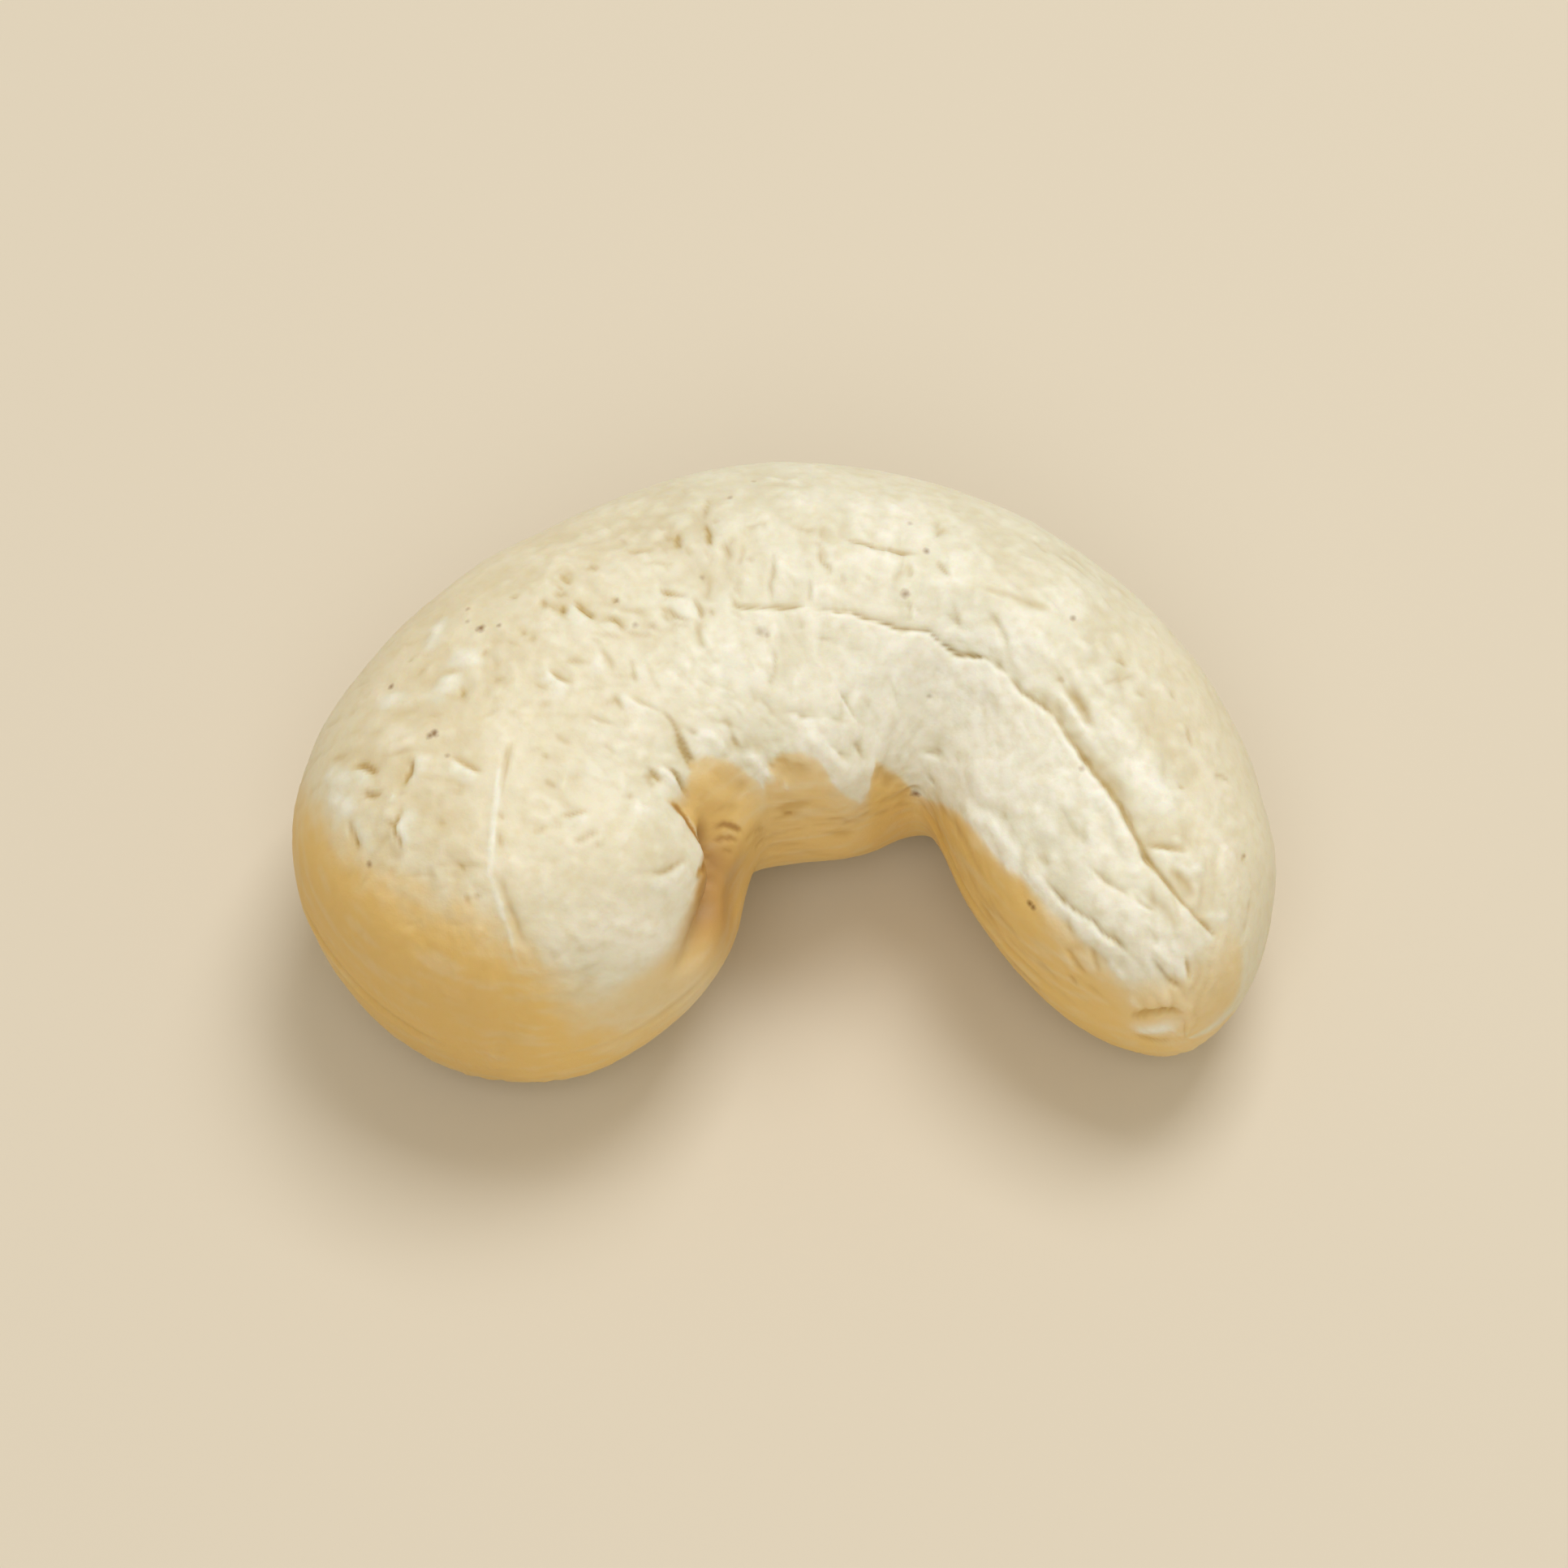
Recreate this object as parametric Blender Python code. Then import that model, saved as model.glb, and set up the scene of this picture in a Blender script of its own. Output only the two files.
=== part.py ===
"""A whole shelled cashew nut, one curved kernel lying on its cheek.

Units are metres with +Z up. The seam between the two halves lies level, the hollow of the
curve opens towards -Y and the length runs along X. The origin is the middle of the
footprint, on the surface that the kernel rests on.
"""

import math
from typing import NamedTuple

import bmesh
import bpy
import numpy as np

MM = 0.001

# Driving dimensions; the seat is a flat spot pressed into the lower cheek
LENGTH = 28.0 * MM
THICKNESS = 10.8 * MM
SEAT_DEPTH = 0.08 * MM
SEAT_SNAP = 0.005 * MM

# The groove along the seam: its depth as a share of the half width, and its width as an
# angle around the cross-section
SEAM_DENT = 0.035
SEAM_SPREAD = math.radians(6.0)

# The two sides of a cross-section: the back is near a circle, the hollow side is fuller
BACK_ROUNDNESS = 2.05
HOLLOW_ROUNDNESS = 2.7

# Rings from tip to tip, and points around each ring
RINGS = 40
RING_POINTS = 52


class Rib(NamedTuple):
    """One station along the kernel, seen from above with the hollow towards -Y.

    back and hollow are the seam's points on the outer and the inner edge, in hundredths of
    the length. fullness is the thickness there, as a share of the full one, and lift is how
    far the underside stands off the surface, as a share of the full thickness.
    """

    back: tuple
    hollow: tuple
    fullness: float
    lift: float


LEFT_TIP = Rib((-28.6, -32.9), (-28.6, -32.9), 0.0, 0.40)
RIGHT_TIP = Rib((40.0, -29.6), (40.0, -29.6), 0.0, 0.35)
RIBS = [
    Rib((-41.8, -26.4), (-14.6, -30.4), 0.70, 0.09),
    Rib((-49.3, -13.6), (-5.4, -21.8), 0.93, 0.02),
    Rib((-46.8, 2.1), (-3.6, -15.0), 0.98, 0.00),
    Rib((-36.4, 15.7), (-2.5, -11.1), 1.00, 0.00),
    Rib((-20.4, 26.4), (0.0, -10.0), 1.00, 0.00),
    Rib((-2.9, 31.8), (4.3, -9.6), 1.00, 0.00),
    Rib((15.4, 29.6), (8.9, -7.9), 0.98, 0.00),
    Rib((31.4, 21.1), (13.6, -5.4), 0.95, 0.00),
    Rib((43.6, 7.9), (16.8, -11.4), 0.87, 0.01),
    Rib((49.3, -7.9), (21.8, -19.6), 0.76, 0.03),
    Rib((47.5, -22.1), (30.0, -26.8), 0.58, 0.09),
]

# Ivory flesh of the blanched kernel, linear RGB
KERNEL_COLOUR = (0.73, 0.62, 0.40, 1.0)
KERNEL_ROUGHNESS = 0.55


def closed_curve(points):
    """Return a smooth closed curve through the points, as a function of the point number."""
    count = len(points)
    before = np.roll(points, 1, axis=0)
    after = np.roll(points, -1, axis=0)
    bands = 4.0 * np.eye(count) + np.roll(np.eye(count), 1, axis=0) + np.roll(np.eye(count), -1, axis=0)
    slopes = np.linalg.solve(bands, 3.0 * (after - before))

    def at(place):
        start = int(math.floor(place)) % count
        end = (start + 1) % count
        f = place - math.floor(place)
        return (
            (1 + 2 * f) * (1 - f) ** 2 * points[start]
            + f * (1 - f) ** 2 * slopes[start]
            + f * f * (3 - 2 * f) * points[end]
            + f * f * (f - 1) * slopes[end]
        )

    return at


def seam_points():
    """List the seam's points once round the kernel: the back, then the hollow side.

    A row is x, y, the seam's height and the half thickness, which changes sign on the
    hollow side so that it passes smoothly through zero at both tips.
    """

    def row(rib, edge, side):
        half_thickness = 0.5 * rib.fullness * THICKNESS
        seam_height = half_thickness + rib.lift * THICKNESS
        return [edge[0] * LENGTH / 100, edge[1] * LENGTH / 100, seam_height, side * half_thickness]

    back = [row(rib, rib.back, 1) for rib in RIBS]
    hollow = [row(rib, rib.hollow, -1) for rib in reversed(RIBS)]
    tips = [row(tip, tip.back, 1) for tip in (LEFT_TIP, RIGHT_TIP)]
    return np.array([tips[0]] + back + [tips[1]] + hollow)


def rounded(value, roundness):
    """Bend a sine or a cosine so that the ring becomes a fuller or a leaner oval."""
    return math.copysign(abs(value) ** (2.0 / roundness), value)


def kernel_point(seam, along, around):
    """Return the skin's point at a place along the kernel and an angle around it.

    Angle 0 is the back's seam, a quarter turn is the upper cheek, and a half turn is the
    seam on the hollow side.
    """
    back = seam(along)
    hollow = seam(-along)
    middle = (back + hollow) / 2
    reach = (back - hollow) / 2
    across = math.cos(around)
    up = math.sin(around)
    roundness = BACK_ROUNDNESS if across > 0 else HOLLOW_ROUNDNESS
    groove = 1 - SEAM_DENT * math.exp(-((up / math.sin(SEAM_SPREAD)) ** 2))
    x, y = middle[:2] + reach[:2] * rounded(across, roundness) * groove
    z = middle[2] + reach[3] * rounded(up, roundness)
    return x, y, z


def shape_kernel(mesh):
    """Bend a ball, its poles at the two tips, into the kernel."""
    seam = closed_curve(seam_points())
    last_rib = len(RIBS) + 1
    for vertex in mesh.verts:
        from_left_tip = math.acos(max(-1.0, min(1.0, vertex.co.z)))
        around = math.atan2(vertex.co.y, vertex.co.x)
        vertex.co = kernel_point(seam, last_rib * from_left_tip / math.pi, around)


def bring_to_size(mesh):
    """Scale the kernel so that it measures its length and its thickness."""
    corners = np.array([vertex.co for vertex in mesh.verts])
    length, _, thickness = corners.max(axis=0) - corners.min(axis=0)
    growth = (LENGTH / length, LENGTH / length, THICKNESS / thickness)
    bmesh.ops.scale(mesh, verts=mesh.verts, vec=growth)
    lowest = corners[:, 2].min() * growth[2]
    bmesh.ops.translate(mesh, verts=mesh.verts, vec=(0, 0, -lowest))


def flatten_seat(mesh):
    """Press a small flat spot on the lower cheek, for the kernel to rest on."""
    everything = mesh.verts[:] + mesh.edges[:] + mesh.faces[:]
    seat = {"plane_co": (0, 0, SEAT_DEPTH), "plane_no": (0, 0, -1)}
    cut = bmesh.ops.bisect_plane(mesh, geom=everything, dist=SEAT_SNAP, clear_outer=True, **seat)
    rim = [part for part in cut["geom_cut"] if isinstance(part, bmesh.types.BMEdge)]
    for vertex in {vertex for edge in rim for vertex in edge.verts}:
        vertex.co.z = SEAT_DEPTH
    bmesh.ops.triangle_fill(mesh, edges=rim, use_beauty=True)


def centre_on_seat(mesh):
    """Bring the middle of the footprint, on the seat's plane, to the origin."""
    corners = np.array([vertex.co for vertex in mesh.verts])
    middle = (corners.min(axis=0) + corners.max(axis=0)) / 2
    bmesh.ops.translate(mesh, verts=mesh.verts, vec=(-middle[0], -middle[1], -corners[:, 2].min()))


def kernel_material():
    """Matt ivory flesh."""
    material = bpy.data.materials.new("blanched_kernel")
    material.use_nodes = True
    flesh = material.node_tree.nodes["Principled BSDF"]
    flesh.inputs["Base Color"].default_value = KERNEL_COLOUR
    flesh.inputs["Roughness"].default_value = KERNEL_ROUGHNESS
    flesh.inputs["Metallic"].default_value = 0.0
    return material


def make_kernel():
    """Model the kernel as one closed solid."""
    mesh = bmesh.new()
    bmesh.ops.create_uvsphere(mesh, u_segments=RING_POINTS, v_segments=RINGS, radius=1.0)
    shape_kernel(mesh)
    bring_to_size(mesh)
    flatten_seat(mesh)
    centre_on_seat(mesh)
    bmesh.ops.recalc_face_normals(mesh, faces=mesh.faces)
    data = bpy.data.meshes.new("cashew_nut")
    mesh.to_mesh(data)
    mesh.free()
    data.shade_smooth()
    data.materials.append(kernel_material())
    kernel = bpy.data.objects.new("cashew_nut", data)
    bpy.context.scene.collection.objects.link(kernel)
    return kernel


for leftover in list(bpy.data.objects):
    bpy.data.objects.remove(leftover)
make_kernel()
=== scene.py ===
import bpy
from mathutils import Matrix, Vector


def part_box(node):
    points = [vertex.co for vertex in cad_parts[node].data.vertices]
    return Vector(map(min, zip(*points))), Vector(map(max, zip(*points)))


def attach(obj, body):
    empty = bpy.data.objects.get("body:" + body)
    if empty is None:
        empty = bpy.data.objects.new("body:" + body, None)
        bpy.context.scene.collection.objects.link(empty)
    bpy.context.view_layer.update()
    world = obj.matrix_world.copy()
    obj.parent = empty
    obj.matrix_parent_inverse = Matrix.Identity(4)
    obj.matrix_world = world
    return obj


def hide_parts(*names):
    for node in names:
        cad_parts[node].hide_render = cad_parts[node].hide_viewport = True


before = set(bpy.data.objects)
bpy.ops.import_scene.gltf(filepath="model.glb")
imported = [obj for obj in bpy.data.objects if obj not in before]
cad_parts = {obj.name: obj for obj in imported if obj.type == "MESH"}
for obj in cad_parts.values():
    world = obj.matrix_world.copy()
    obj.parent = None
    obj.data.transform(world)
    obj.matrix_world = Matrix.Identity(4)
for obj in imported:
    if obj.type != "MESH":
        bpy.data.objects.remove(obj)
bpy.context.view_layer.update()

import math
import random
from typing import NamedTuple

import bmesh
import bpy
import numpy as np
from mathutils import Vector, noise
from mathutils.kdtree import KDTree

# The kernel: a whole cashew with its shell and papery skin taken off, two halves grown
# together along a seam and bent into a hook. Its dry, oily, ivory flesh keeps the furrows
# and pleats that it was pressed into inside the shell. Sizes are in millimetres.

MM = 0.001
low_corner, high_corner = (np.array(corner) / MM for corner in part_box("cashew_nut"))
LENGTH = high_corner[0] - low_corner[0]
THICKNESS = high_corner[2] - low_corner[2]
SEAT_DEPTH = 0.08


class Rib(NamedTuple):
    """One station along the kernel: the seam's outer and inner points in hundredths of the
    length, and the thickness and the lift off the surface as shares of the thickness."""

    back: tuple
    hollow: tuple
    fullness: float
    lift: float


LEFT_TIP = Rib((-28.6, -32.9), (-28.6, -32.9), 0.0, 0.40)
RIGHT_TIP = Rib((40.0, -29.6), (40.0, -29.6), 0.0, 0.35)
RIBS = [
    Rib((-41.8, -26.4), (-14.6, -30.4), 0.70, 0.09),
    Rib((-49.3, -13.6), (-5.4, -21.8), 0.93, 0.02),
    Rib((-46.8, 2.1), (-3.6, -15.0), 0.98, 0.00),
    Rib((-36.4, 15.7), (-2.5, -11.1), 1.00, 0.00),
    Rib((-20.4, 26.4), (0.0, -10.0), 1.00, 0.00),
    Rib((-2.9, 31.8), (4.3, -9.6), 1.00, 0.00),
    Rib((15.4, 29.6), (8.9, -7.9), 0.98, 0.00),
    Rib((31.4, 21.1), (13.6, -5.4), 0.95, 0.00),
    Rib((43.6, 7.9), (16.8, -11.4), 0.87, 0.01),
    Rib((49.3, -7.9), (21.8, -19.6), 0.76, 0.03),
    Rib((47.5, -22.1), (30.0, -26.8), 0.58, 0.09),
]
LAST_STATION = len(RIBS) + 1

# How square a ring is: 2 is round. At the arch and the slim limb the cheek slopes down to
# a sharp rim over the hollow, and at the thick lobe it rolls over gently. The drop is how
# far the rim lies below a round cheek, as a share of its height, and its onset is how far in
# from the middle it starts.
BACK_ROUNDNESS = 2.05
LOWER_ROUNDNESS = 2.0
RIM_STATIONS = [0.0, 2.6, 3.4, 4.2, 5.0, 6.0, 7.6, 8.6, 9.5, 11.0, 12.0]
RIM_ROUNDNESS = [2.1, 2.1, 2.6, 3.3, 3.8, 4.0, 4.2, 3.8, 3.5, 3.0, 2.3]
RIM_DROP = [0.0, 0.0, 0.03, 0.09, 0.18, 0.26, 0.62, 0.46, 0.28, 0.12, 0.0]
DROP_ONSET = 0.3


def closed_curve(points):
    """Return a smooth closed curve through the points, read at many places at once."""
    count = len(points)
    eye = np.eye(count)
    bands = 4 * eye + np.roll(eye, 1, axis=0) + np.roll(eye, -1, axis=0)
    slopes = np.linalg.solve(bands, 3 * (np.roll(points, -1, axis=0) - np.roll(points, 1, axis=0)))

    def at(places):
        start = np.floor(places).astype(int) % count
        end = (start + 1) % count
        f = (places - np.floor(places))[:, None]
        return (
            (1 + 2 * f) * (1 - f) ** 2 * points[start]
            + f * (1 - f) ** 2 * slopes[start]
            + f * f * (3 - 2 * f) * points[end]
            + f * f * (f - 1) * slopes[end]
        )

    return at


def seam_row(rib, edge, side):
    """The seam's x, y and height at a rib, and the half thickness there, signed by the side."""
    half = 0.5 * rib.fullness * THICKNESS
    x, y = edge[0] * LENGTH / 100, edge[1] * LENGTH / 100
    return [x, y, half + rib.lift * THICKNESS, side * half]


seam = closed_curve(np.array(
    [seam_row(LEFT_TIP, LEFT_TIP.back, 1)]
    + [seam_row(rib, rib.back, 1) for rib in RIBS]
    + [seam_row(RIGHT_TIP, RIGHT_TIP.back, 1)]
    + [seam_row(rib, rib.hollow, -1) for rib in reversed(RIBS)]
))


def plain_skin(station, around):
    """Points of the smooth kernel. Station 0 is the left tip and 12 the right one. Angle 0
    is the back's seam, a quarter turn the upper cheek and a half turn the hollow's seam."""
    back = seam(station)
    hollow = seam(-station)
    middle = (back + hollow) / 2
    reach = (back - hollow) / 2
    across, up = np.cos(around), np.sin(around)
    rim_roundness = np.interp(station, RIM_STATIONS, RIM_ROUNDNESS)
    upper_roundness = np.where(across > 0, BACK_ROUNDNESS, rim_roundness)
    roundness = np.where(up > 0, upper_roundness, LOWER_ROUNDNESS)
    stretch = (abs(across) ** roundness + abs(up) ** roundness) ** (-1 / roundness)
    inward = np.maximum(-across * stretch, 0)
    drop = np.where(up > 0, np.interp(station, RIM_STATIONS, RIM_DROP), 0)
    drop = drop * (1 + DROP_ONSET) * inward**2 / (inward + DROP_ONSET)
    plan = middle[:, :2] + reach[:, :2] * (across * stretch)[:, None]
    return np.column_stack([plan, middle[:, 2] + reach[:, 3] * up * stretch * (1 - drop)])


# A long box of square faces is wrapped round the kernel, so that no faces bunch at the tips.
# Each end of the box covers a tip, as a share of the kernel's length, and the upper cheek
# takes more of the faces than the lower one.
BOX_WIDTH = 2.0
BOX_REACH = 7.0
FACES_ACROSS = 57
TIP_CAP = 0.085
UPPER_SHARE = 0.5
TINY = 1e-9

kernel_mesh = bmesh.new()
bmesh.ops.create_cube(kernel_mesh, size=BOX_WIDTH)
bmesh.ops.scale(kernel_mesh, verts=kernel_mesh.verts, vec=(BOX_REACH, 1, 1))
long_edges = [edge for edge in kernel_mesh.edges if edge.calc_length() > 1.1 * BOX_WIDTH]
bmesh.ops.subdivide_edges(kernel_mesh, edges=long_edges, cuts=int(BOX_REACH) - 1)
bmesh.ops.subdivide_edges(
    kernel_mesh, edges=kernel_mesh.edges, cuts=FACES_ACROSS - 1, use_grid_fill=True)
box_points = np.array([vertex.co for vertex in kernel_mesh.verts])

along_box = (box_points[:, 0] / BOX_REACH + 1) / 2
y, z = box_points[:, 1], box_points[:, 2]
ring = np.maximum(abs(y), abs(z))
slant = np.where(abs(y) >= abs(z), z, y) / np.maximum(ring, TINY) * math.pi / 4
around = np.where(
    abs(y) >= abs(z),
    np.where(y > 0, slant, math.pi - slant),
    np.where(z > 0, math.pi / 2 - slant, slant - math.pi / 2),
)
around += UPPER_SHARE * np.cos(around)
share = TIP_CAP * ring * (1 - along_box) + (1 - TIP_CAP * ring) * along_box
station = share * LAST_STATION
base = plain_skin(station, around)

# The kernel is laid in the solid's own box, its underside just below the seat
raw_low, raw_high = base.min(axis=0), base.max(axis=0)
box_low = low_corner - np.array([0, 0, SEAT_DEPTH])
growth = (high_corner - box_low) / (raw_high - raw_low)


def settled(points):
    """Scale and move points of the plain skin into the solid's box."""
    return (points - raw_low) * growth + box_low


base = settled(base)

kernel_data = bpy.data.meshes.new("kernel")
kernel_mesh.to_mesh(kernel_data)
kernel_mesh.free()


def shape_to(points):
    """Move the kernel's vertices to the points, and return the normals there."""
    kernel_data.vertices.foreach_set("co", (points * MM).astype(np.float32).ravel())
    kernel_data.update()
    normals = np.empty(len(points) * 3, dtype=np.float32)
    kernel_data.vertices.foreach_get("normal", normals)
    return normals.reshape(-1, 3).astype(float)


base_normals = shape_to(base)


def between(value, start, end):
    """A smooth step from 0 at start to 1 at end."""
    f = np.clip((value - start) / (end - start), 0, 1)
    return f * f * (3 - 2 * f)


SEED_STEP = np.array([17.3, 5.1, 9.7])


def waves(points, size, seed):
    """Soft random waves from -1 to 1, of the given size in mm."""
    shifted = points / size + SEED_STEP * seed
    return np.array([noise.noise(Vector(point)) for point in shifted])


# The same place on a kernel that is straightened out, so that wrinkles can be drawn out
# along it or across it. It thins to nearly nothing at its ends.
CENTRE_SAMPLES = 241
GIRTH_RADIUS = 5.6
BLUNT_END = 0.02
sampled = np.linspace(0, LAST_STATION, CENTRE_SAMPLES)
centre_line = (seam(sampled) + seam(-sampled))[:, :3] / 2
steps = np.linalg.norm(np.diff(centre_line, axis=0), axis=1)
run = np.interp(station, sampled, np.concatenate([[0], np.cumsum(steps)]))
straight = np.column_stack([run, GIRTH_RADIUS * np.cos(around), GIRTH_RADIUS * np.sin(around)])
straight[:, 1:] *= np.sin(math.pi * np.clip(share, BLUNT_END, 1 - BLUNT_END))[:, None] ** 0.5

# Which part of the skin a point is on, from 0 to 1. The angle is 0 at the back's seam, 90 in
# the middle of the upper cheek and 180 at the hollow's seam, and negative on the lower side.
angle = np.degrees(np.arctan2(np.sin(around), np.cos(around)))
back_band = 1 - between(abs(angle), 25, 60)
wall = between(abs(angle), 128, 155)
cheek = (1 - back_band) * (1 - wall)

# Swellings and dents, each with its middle, its spread and its height. The thick lobe
# bulges over the hollow like a nose, and the skin is pinched in below it, along the undercut.
SWELLINGS = [
    ((-3.7, -5.3, 9.6), 1.5, 0.30),
    ((-2.3, -3.8, 9.4), 0.7, -0.35),
    ((10.6, -8.2, 5.6), 0.8, 0.25),
    ((-11.6, -2.6, 8.0), 1.6, 0.12),
    ((-9.6, 1.4, 9.6), 1.6, 0.10),
    ((10.6, -1.3, 9.0), 1.4, 0.14),
    ((9.4, -1.6, 10.0), 0.9, -0.12),
    ((-1.0, -4.9, 6.0), 1.2, -0.45),
    ((-0.7, -3.1, 5.0), 1.1, 0.06),
    ((-0.7, -3.0, 7.0), 1.1, 0.15),
]
UNDERCUT = [
    (-3.2, -3.0, 9.5), (-2.5, -3.4, 8.8), (-1.75, -4.0, 8.0), (-1.45, -4.8, 7.45),
    (-1.6, -5.8, 7.1), (-2.2, -6.9, 6.7), (-3.2, -7.9, 6.2),
]
UNDERCUT_DEPTH = 0.95
UNDERCUT_WIDTH = 0.5
UNDERCUT_FADE = 2.6
swell = np.zeros(len(base))
for middle, spread, height in SWELLINGS:
    distance = np.linalg.norm(base - np.array(middle), axis=1)
    swell += height * np.exp(-((distance / spread) ** 2))
# The whole skin is a little uneven besides
swell += 0.09 * waves(base, 4.0, 1) + 0.05 * waves(base, 2.1, 2)


def eased(path):
    """Round a path's corners off, and keep its ends."""
    for _ in range(2):
        first = 0.75 * path[:-1] + 0.25 * path[1:]
        second = 0.25 * path[:-1] + 0.75 * path[1:]
        inner = np.stack([first, second], axis=1).reshape(-1, 3)
        path = np.vstack([path[:1], inner, path[-1:]])
    return path


# Creases wander a little, because they are drawn on points that are slightly out of place
wobble = 0.08 * np.column_stack([waves(base, 0.9, seed) for seed in (3, 4, 5)])
wobble += 0.04 * np.column_stack([waves(base, 0.4, seed) for seed in (12, 13, 14)])
drawn_on = base + wobble

# A crease's cross-section: a narrow furrow in a wide trough, and a lip beside it where it is
# banked, with the skin on the other side sunk by less. Reaches are in widths of the crease.
FURROW_SHARE, TROUGH_SHARE = 0.7, 0.3
TROUGH_REACH = 1.4
CREASE_REACH = 5
LIP_REACH = 7
LIP_SLOPE = 0.8
SUNK_SHARE = 0.25

# It fades in from just outside its ends, in mm, and over no more than a share of its length
END_SLACK = 0.05
LONGEST_FADE = 0.35
NO_LENGTH = 1e-6


def crease(path, depth, width, bank=0.0, fade=0.8):
    """Return the points near a path and how high a crease along it leaves each of them.

    The crease is a narrow furrow with soft shoulders. bank raises a lip on the left of the
    path by that much, or on the right if it is negative. fade is how far from its ends the
    crease reaches its full depth.
    """
    path = eased(np.asarray(path, float))
    reach = CREASE_REACH * width + (LIP_REACH * width if bank else 0.0)
    past_start = drawn_on > path.min(axis=0) - reach
    before_end = drawn_on < path.max(axis=0) + reach
    near = np.nonzero(np.all(past_start & before_end, axis=1))[0]
    points = drawn_on[near]
    nearest = np.full(len(near), np.inf)
    place = np.zeros(len(near))
    side = np.zeros(len(near))
    lengths = np.linalg.norm(np.diff(path, axis=0), axis=1)
    starts = np.concatenate([[0], np.cumsum(lengths)])
    for start, end, length, before in zip(path[:-1], path[1:], lengths, starts):
        if length < NO_LENGTH:
            continue
        direction = (end - start) / length
        offset = points - start
        travel = np.clip(offset @ direction, 0, length)
        gap = offset - travel[:, None] * direction
        distance = np.linalg.norm(gap, axis=1)
        closer = distance < nearest
        nearest[closer] = distance[closer]
        place[closer] = before + travel[closer]
        turn = np.einsum("ij,ij->i", np.cross(direction, gap), base_normals[near])
        side[closer] = turn[closer]
    total = starts[-1]
    fade = min(fade, LONGEST_FADE * total)
    taper = between(place, -END_SLACK, fade) * between(total - place, -END_SLACK, fade)
    across = nearest / width
    furrow = FURROW_SHARE * np.exp(-(across**2)) + TROUGH_SHARE * np.exp(-across / TROUGH_REACH)
    height = -depth * taper * furrow
    if bank:
        leaning = np.tanh(np.sign(bank) * side / (LIP_SLOPE * width))
        leaning = np.where(leaning > 0, leaning, SUNK_SHARE * leaning)
        height += abs(bank) * taper * leaning * np.exp(-((across / CREASE_REACH) ** 2))
    return near, height


# The undercut is painted brown too, as shade in its recess
UNDERCUT_SHADE = 0.6
near, height = crease(UNDERCUT, UNDERCUT_DEPTH, UNDERCUT_WIDTH, fade=UNDERCUT_FADE)
swell[near] += height
stain_and_shade = np.zeros(len(base))
stain_and_shade[near] = UNDERCUT_SHADE * between(-height, 0.5, UNDERCUT_DEPTH)
swollen = base + base_normals * swell[:, None]

# Creases and marks are drawn on a sheet that faces somebody who looks down at the kernel
# from the hollow's side. A place on it is how far right and how far up it is in mm.
SHEET_MIDDLE = np.array([0, 0.19, 5.4])
EYE_RISE = math.radians(60)
EYE_DISTANCE = 200
toward_eye = np.array([0, -math.cos(EYE_RISE), math.sin(EYE_RISE)])
up_sheet = np.array([0, math.sin(EYE_RISE), math.cos(EYE_RISE)])
offset = swollen - SHEET_MIDDLE
nearness = offset @ toward_eye
sheet = np.column_stack([offset[:, 0], offset @ up_sheet])
sheet = sheet * EYE_DISTANCE / (EYE_DISTANCE - nearness[:, None])
sheet_x, sheet_y = sheet.T
in_sight = np.nonzero(base_normals @ toward_eye > 0)[0]
sheet_tree = KDTree(len(in_sight))
for index in in_sight:
    sheet_tree.insert((*sheet[index], 0), index)
sheet_tree.balance()

# How many of the nearest points are asked, and how far behind the foremost one may be, in mm
POINTS_ASKED = 12
FRONT_LAYER = 1


def seen_at(place):
    """Return the skin's point at a place on the sheet, in front of what lies behind it."""
    found = [index for _, index, _ in sheet_tree.find_n((*place, 0), POINTS_ASKED)]
    foremost = max(nearness[index] for index in found)
    return next(index for index in found if nearness[index] > foremost - FRONT_LAYER)


class Crease(NamedTuple):
    """A crease on the sheet: its points, depth, width and bank. A ridge's depth is negative."""

    line: list
    depth: float
    width: float
    bank: float = 0.0


MAIN_FURROW = [
    (-1.6, 4.7), (-1.5, 4.4), (-1.35, 4.2), (-1.0, 4.15), (-0.4, 4.1), (0.2, 4.15), (0.7, 4.2),
    (1.0, 4.15), (1.4, 3.98), (2.0, 3.95), (2.5, 3.85), (3.0, 3.72), (3.3, 3.6), (3.7, 3.5),
    (4.1, 3.45), (4.5, 3.15), (5.0, 2.85), (5.4, 2.72), (5.9, 2.68), (6.3, 2.4), (6.6, 2.05),
    (6.9, 1.75), (7.2, 1.5), (7.6, 1.15), (7.9, 0.75), (8.3, 0.3), (8.55, -0.1), (8.8, -0.5),
    (9.15, -0.9), (9.5, -1.4), (9.85, -1.95), (10.1, -2.5), (10.3, -2.95), (10.7, -3.4),
    (11.0, -3.75), (11.4, -4.25), (11.8, -4.65), (12.2, -5.1), (12.5, -5.45),
]
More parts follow.
